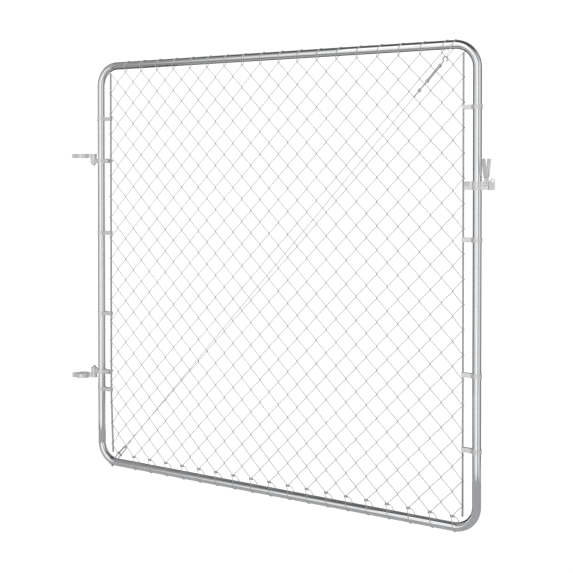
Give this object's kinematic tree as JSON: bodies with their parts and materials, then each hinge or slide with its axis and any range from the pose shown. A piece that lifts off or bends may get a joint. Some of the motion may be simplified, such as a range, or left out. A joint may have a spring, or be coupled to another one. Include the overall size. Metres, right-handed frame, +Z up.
{
  "type": "chain link gate",
  "caption": "Chain link walk gate: bent tube frame with diamond mesh, tension bars, pin hinges with post clamps, fork latch and diagonal cable stay.",
  "frame": {"origin": "on the hinge post's centre line, at mid height of the lower post clamp", "axes": "+X runs from the hinges along the gate to the latch, +Z up, -Y the face with the diagonal stay; the gate stands swung by 30 degrees on its pins, so its own plane lies 25.5 mm behind the hinge post's centre line"},
  "size_m": [1.998, 0.0946, 1.8352],
  "materials": {
    "tube": "hot-dip galvanised steel tube",
    "wire": "galvanised steel wire",
    "bar": "galvanised flat bar",
    "fittings": "galvanised pressed steel",
    "bolts": "zinc plated steel"
  },
  "bodies": {
    "post_hinges": {"lower_post_hinge": "fittings", "upper_post_hinge": "fittings", "lower_hinge_pin": "fittings", "upper_hinge_pin": "fittings", "post_hinge_bolts": "bolts"},
    "gate_leaf": {"left_upright": "tube", "right_upright": "tube", "top_rail": "tube", "bottom_rail": "tube", "corner_top_left": "tube", "corner_top_right": "tube", "corner_bottom_left": "tube", "corner_bottom_right": "tube", "mesh_panel_1": "wire", "mesh_panel_2": "wire", "mesh_panel_3": "wire", "mesh_panel_4": "wire", "top_rail_ties": "wire", "bottom_rail_ties": "wire", "left_tension_bar": "bar", "right_tension_bar": "bar", "left_band_1": "fittings", "left_band_2": "fittings", "left_band_3": "fittings", "left_band_4": "fittings", "right_band_1": "fittings", "right_band_2": "fittings", "right_band_3": "fittings", "right_band_4": "fittings", "left_band_bolts": "bolts", "right_band_bolts": "bolts", "lower_frame_hinge": "fittings", "upper_frame_hinge": "fittings", "frame_hinge_bolts": "bolts", "latch_collar_back": "fittings", "latch_collar_front": "fittings", "latch_clamp_bolt": "bolts", "fork_pivot_bolt": "bolts", "stay_cable": "wire", "stay_anchor": "bolts", "stay_turnbuckle": "fittings", "stay_hook": "fittings", "stay_eyebolt": "fittings", "stay_sling": "wire"},
    "latch_fork": {"latch_fork": "fittings"}
  },
  "joints": [
    {"name": "gate_swing", "type": "hinge", "parent": "post_hinges", "child": "gate_leaf", "pos_m": [0.04417, 0.0255, 0], "axis": [0, 0, 1], "range_deg": [-82, 142]},
    {"name": "fork_lift", "type": "hinge", "parent": "gate_leaf", "child": "latch_fork", "pos_m": [1.91977, 0.0255, 0.8945], "axis": [0, 1, 0], "range_deg": [0, 90]}
  ]
}
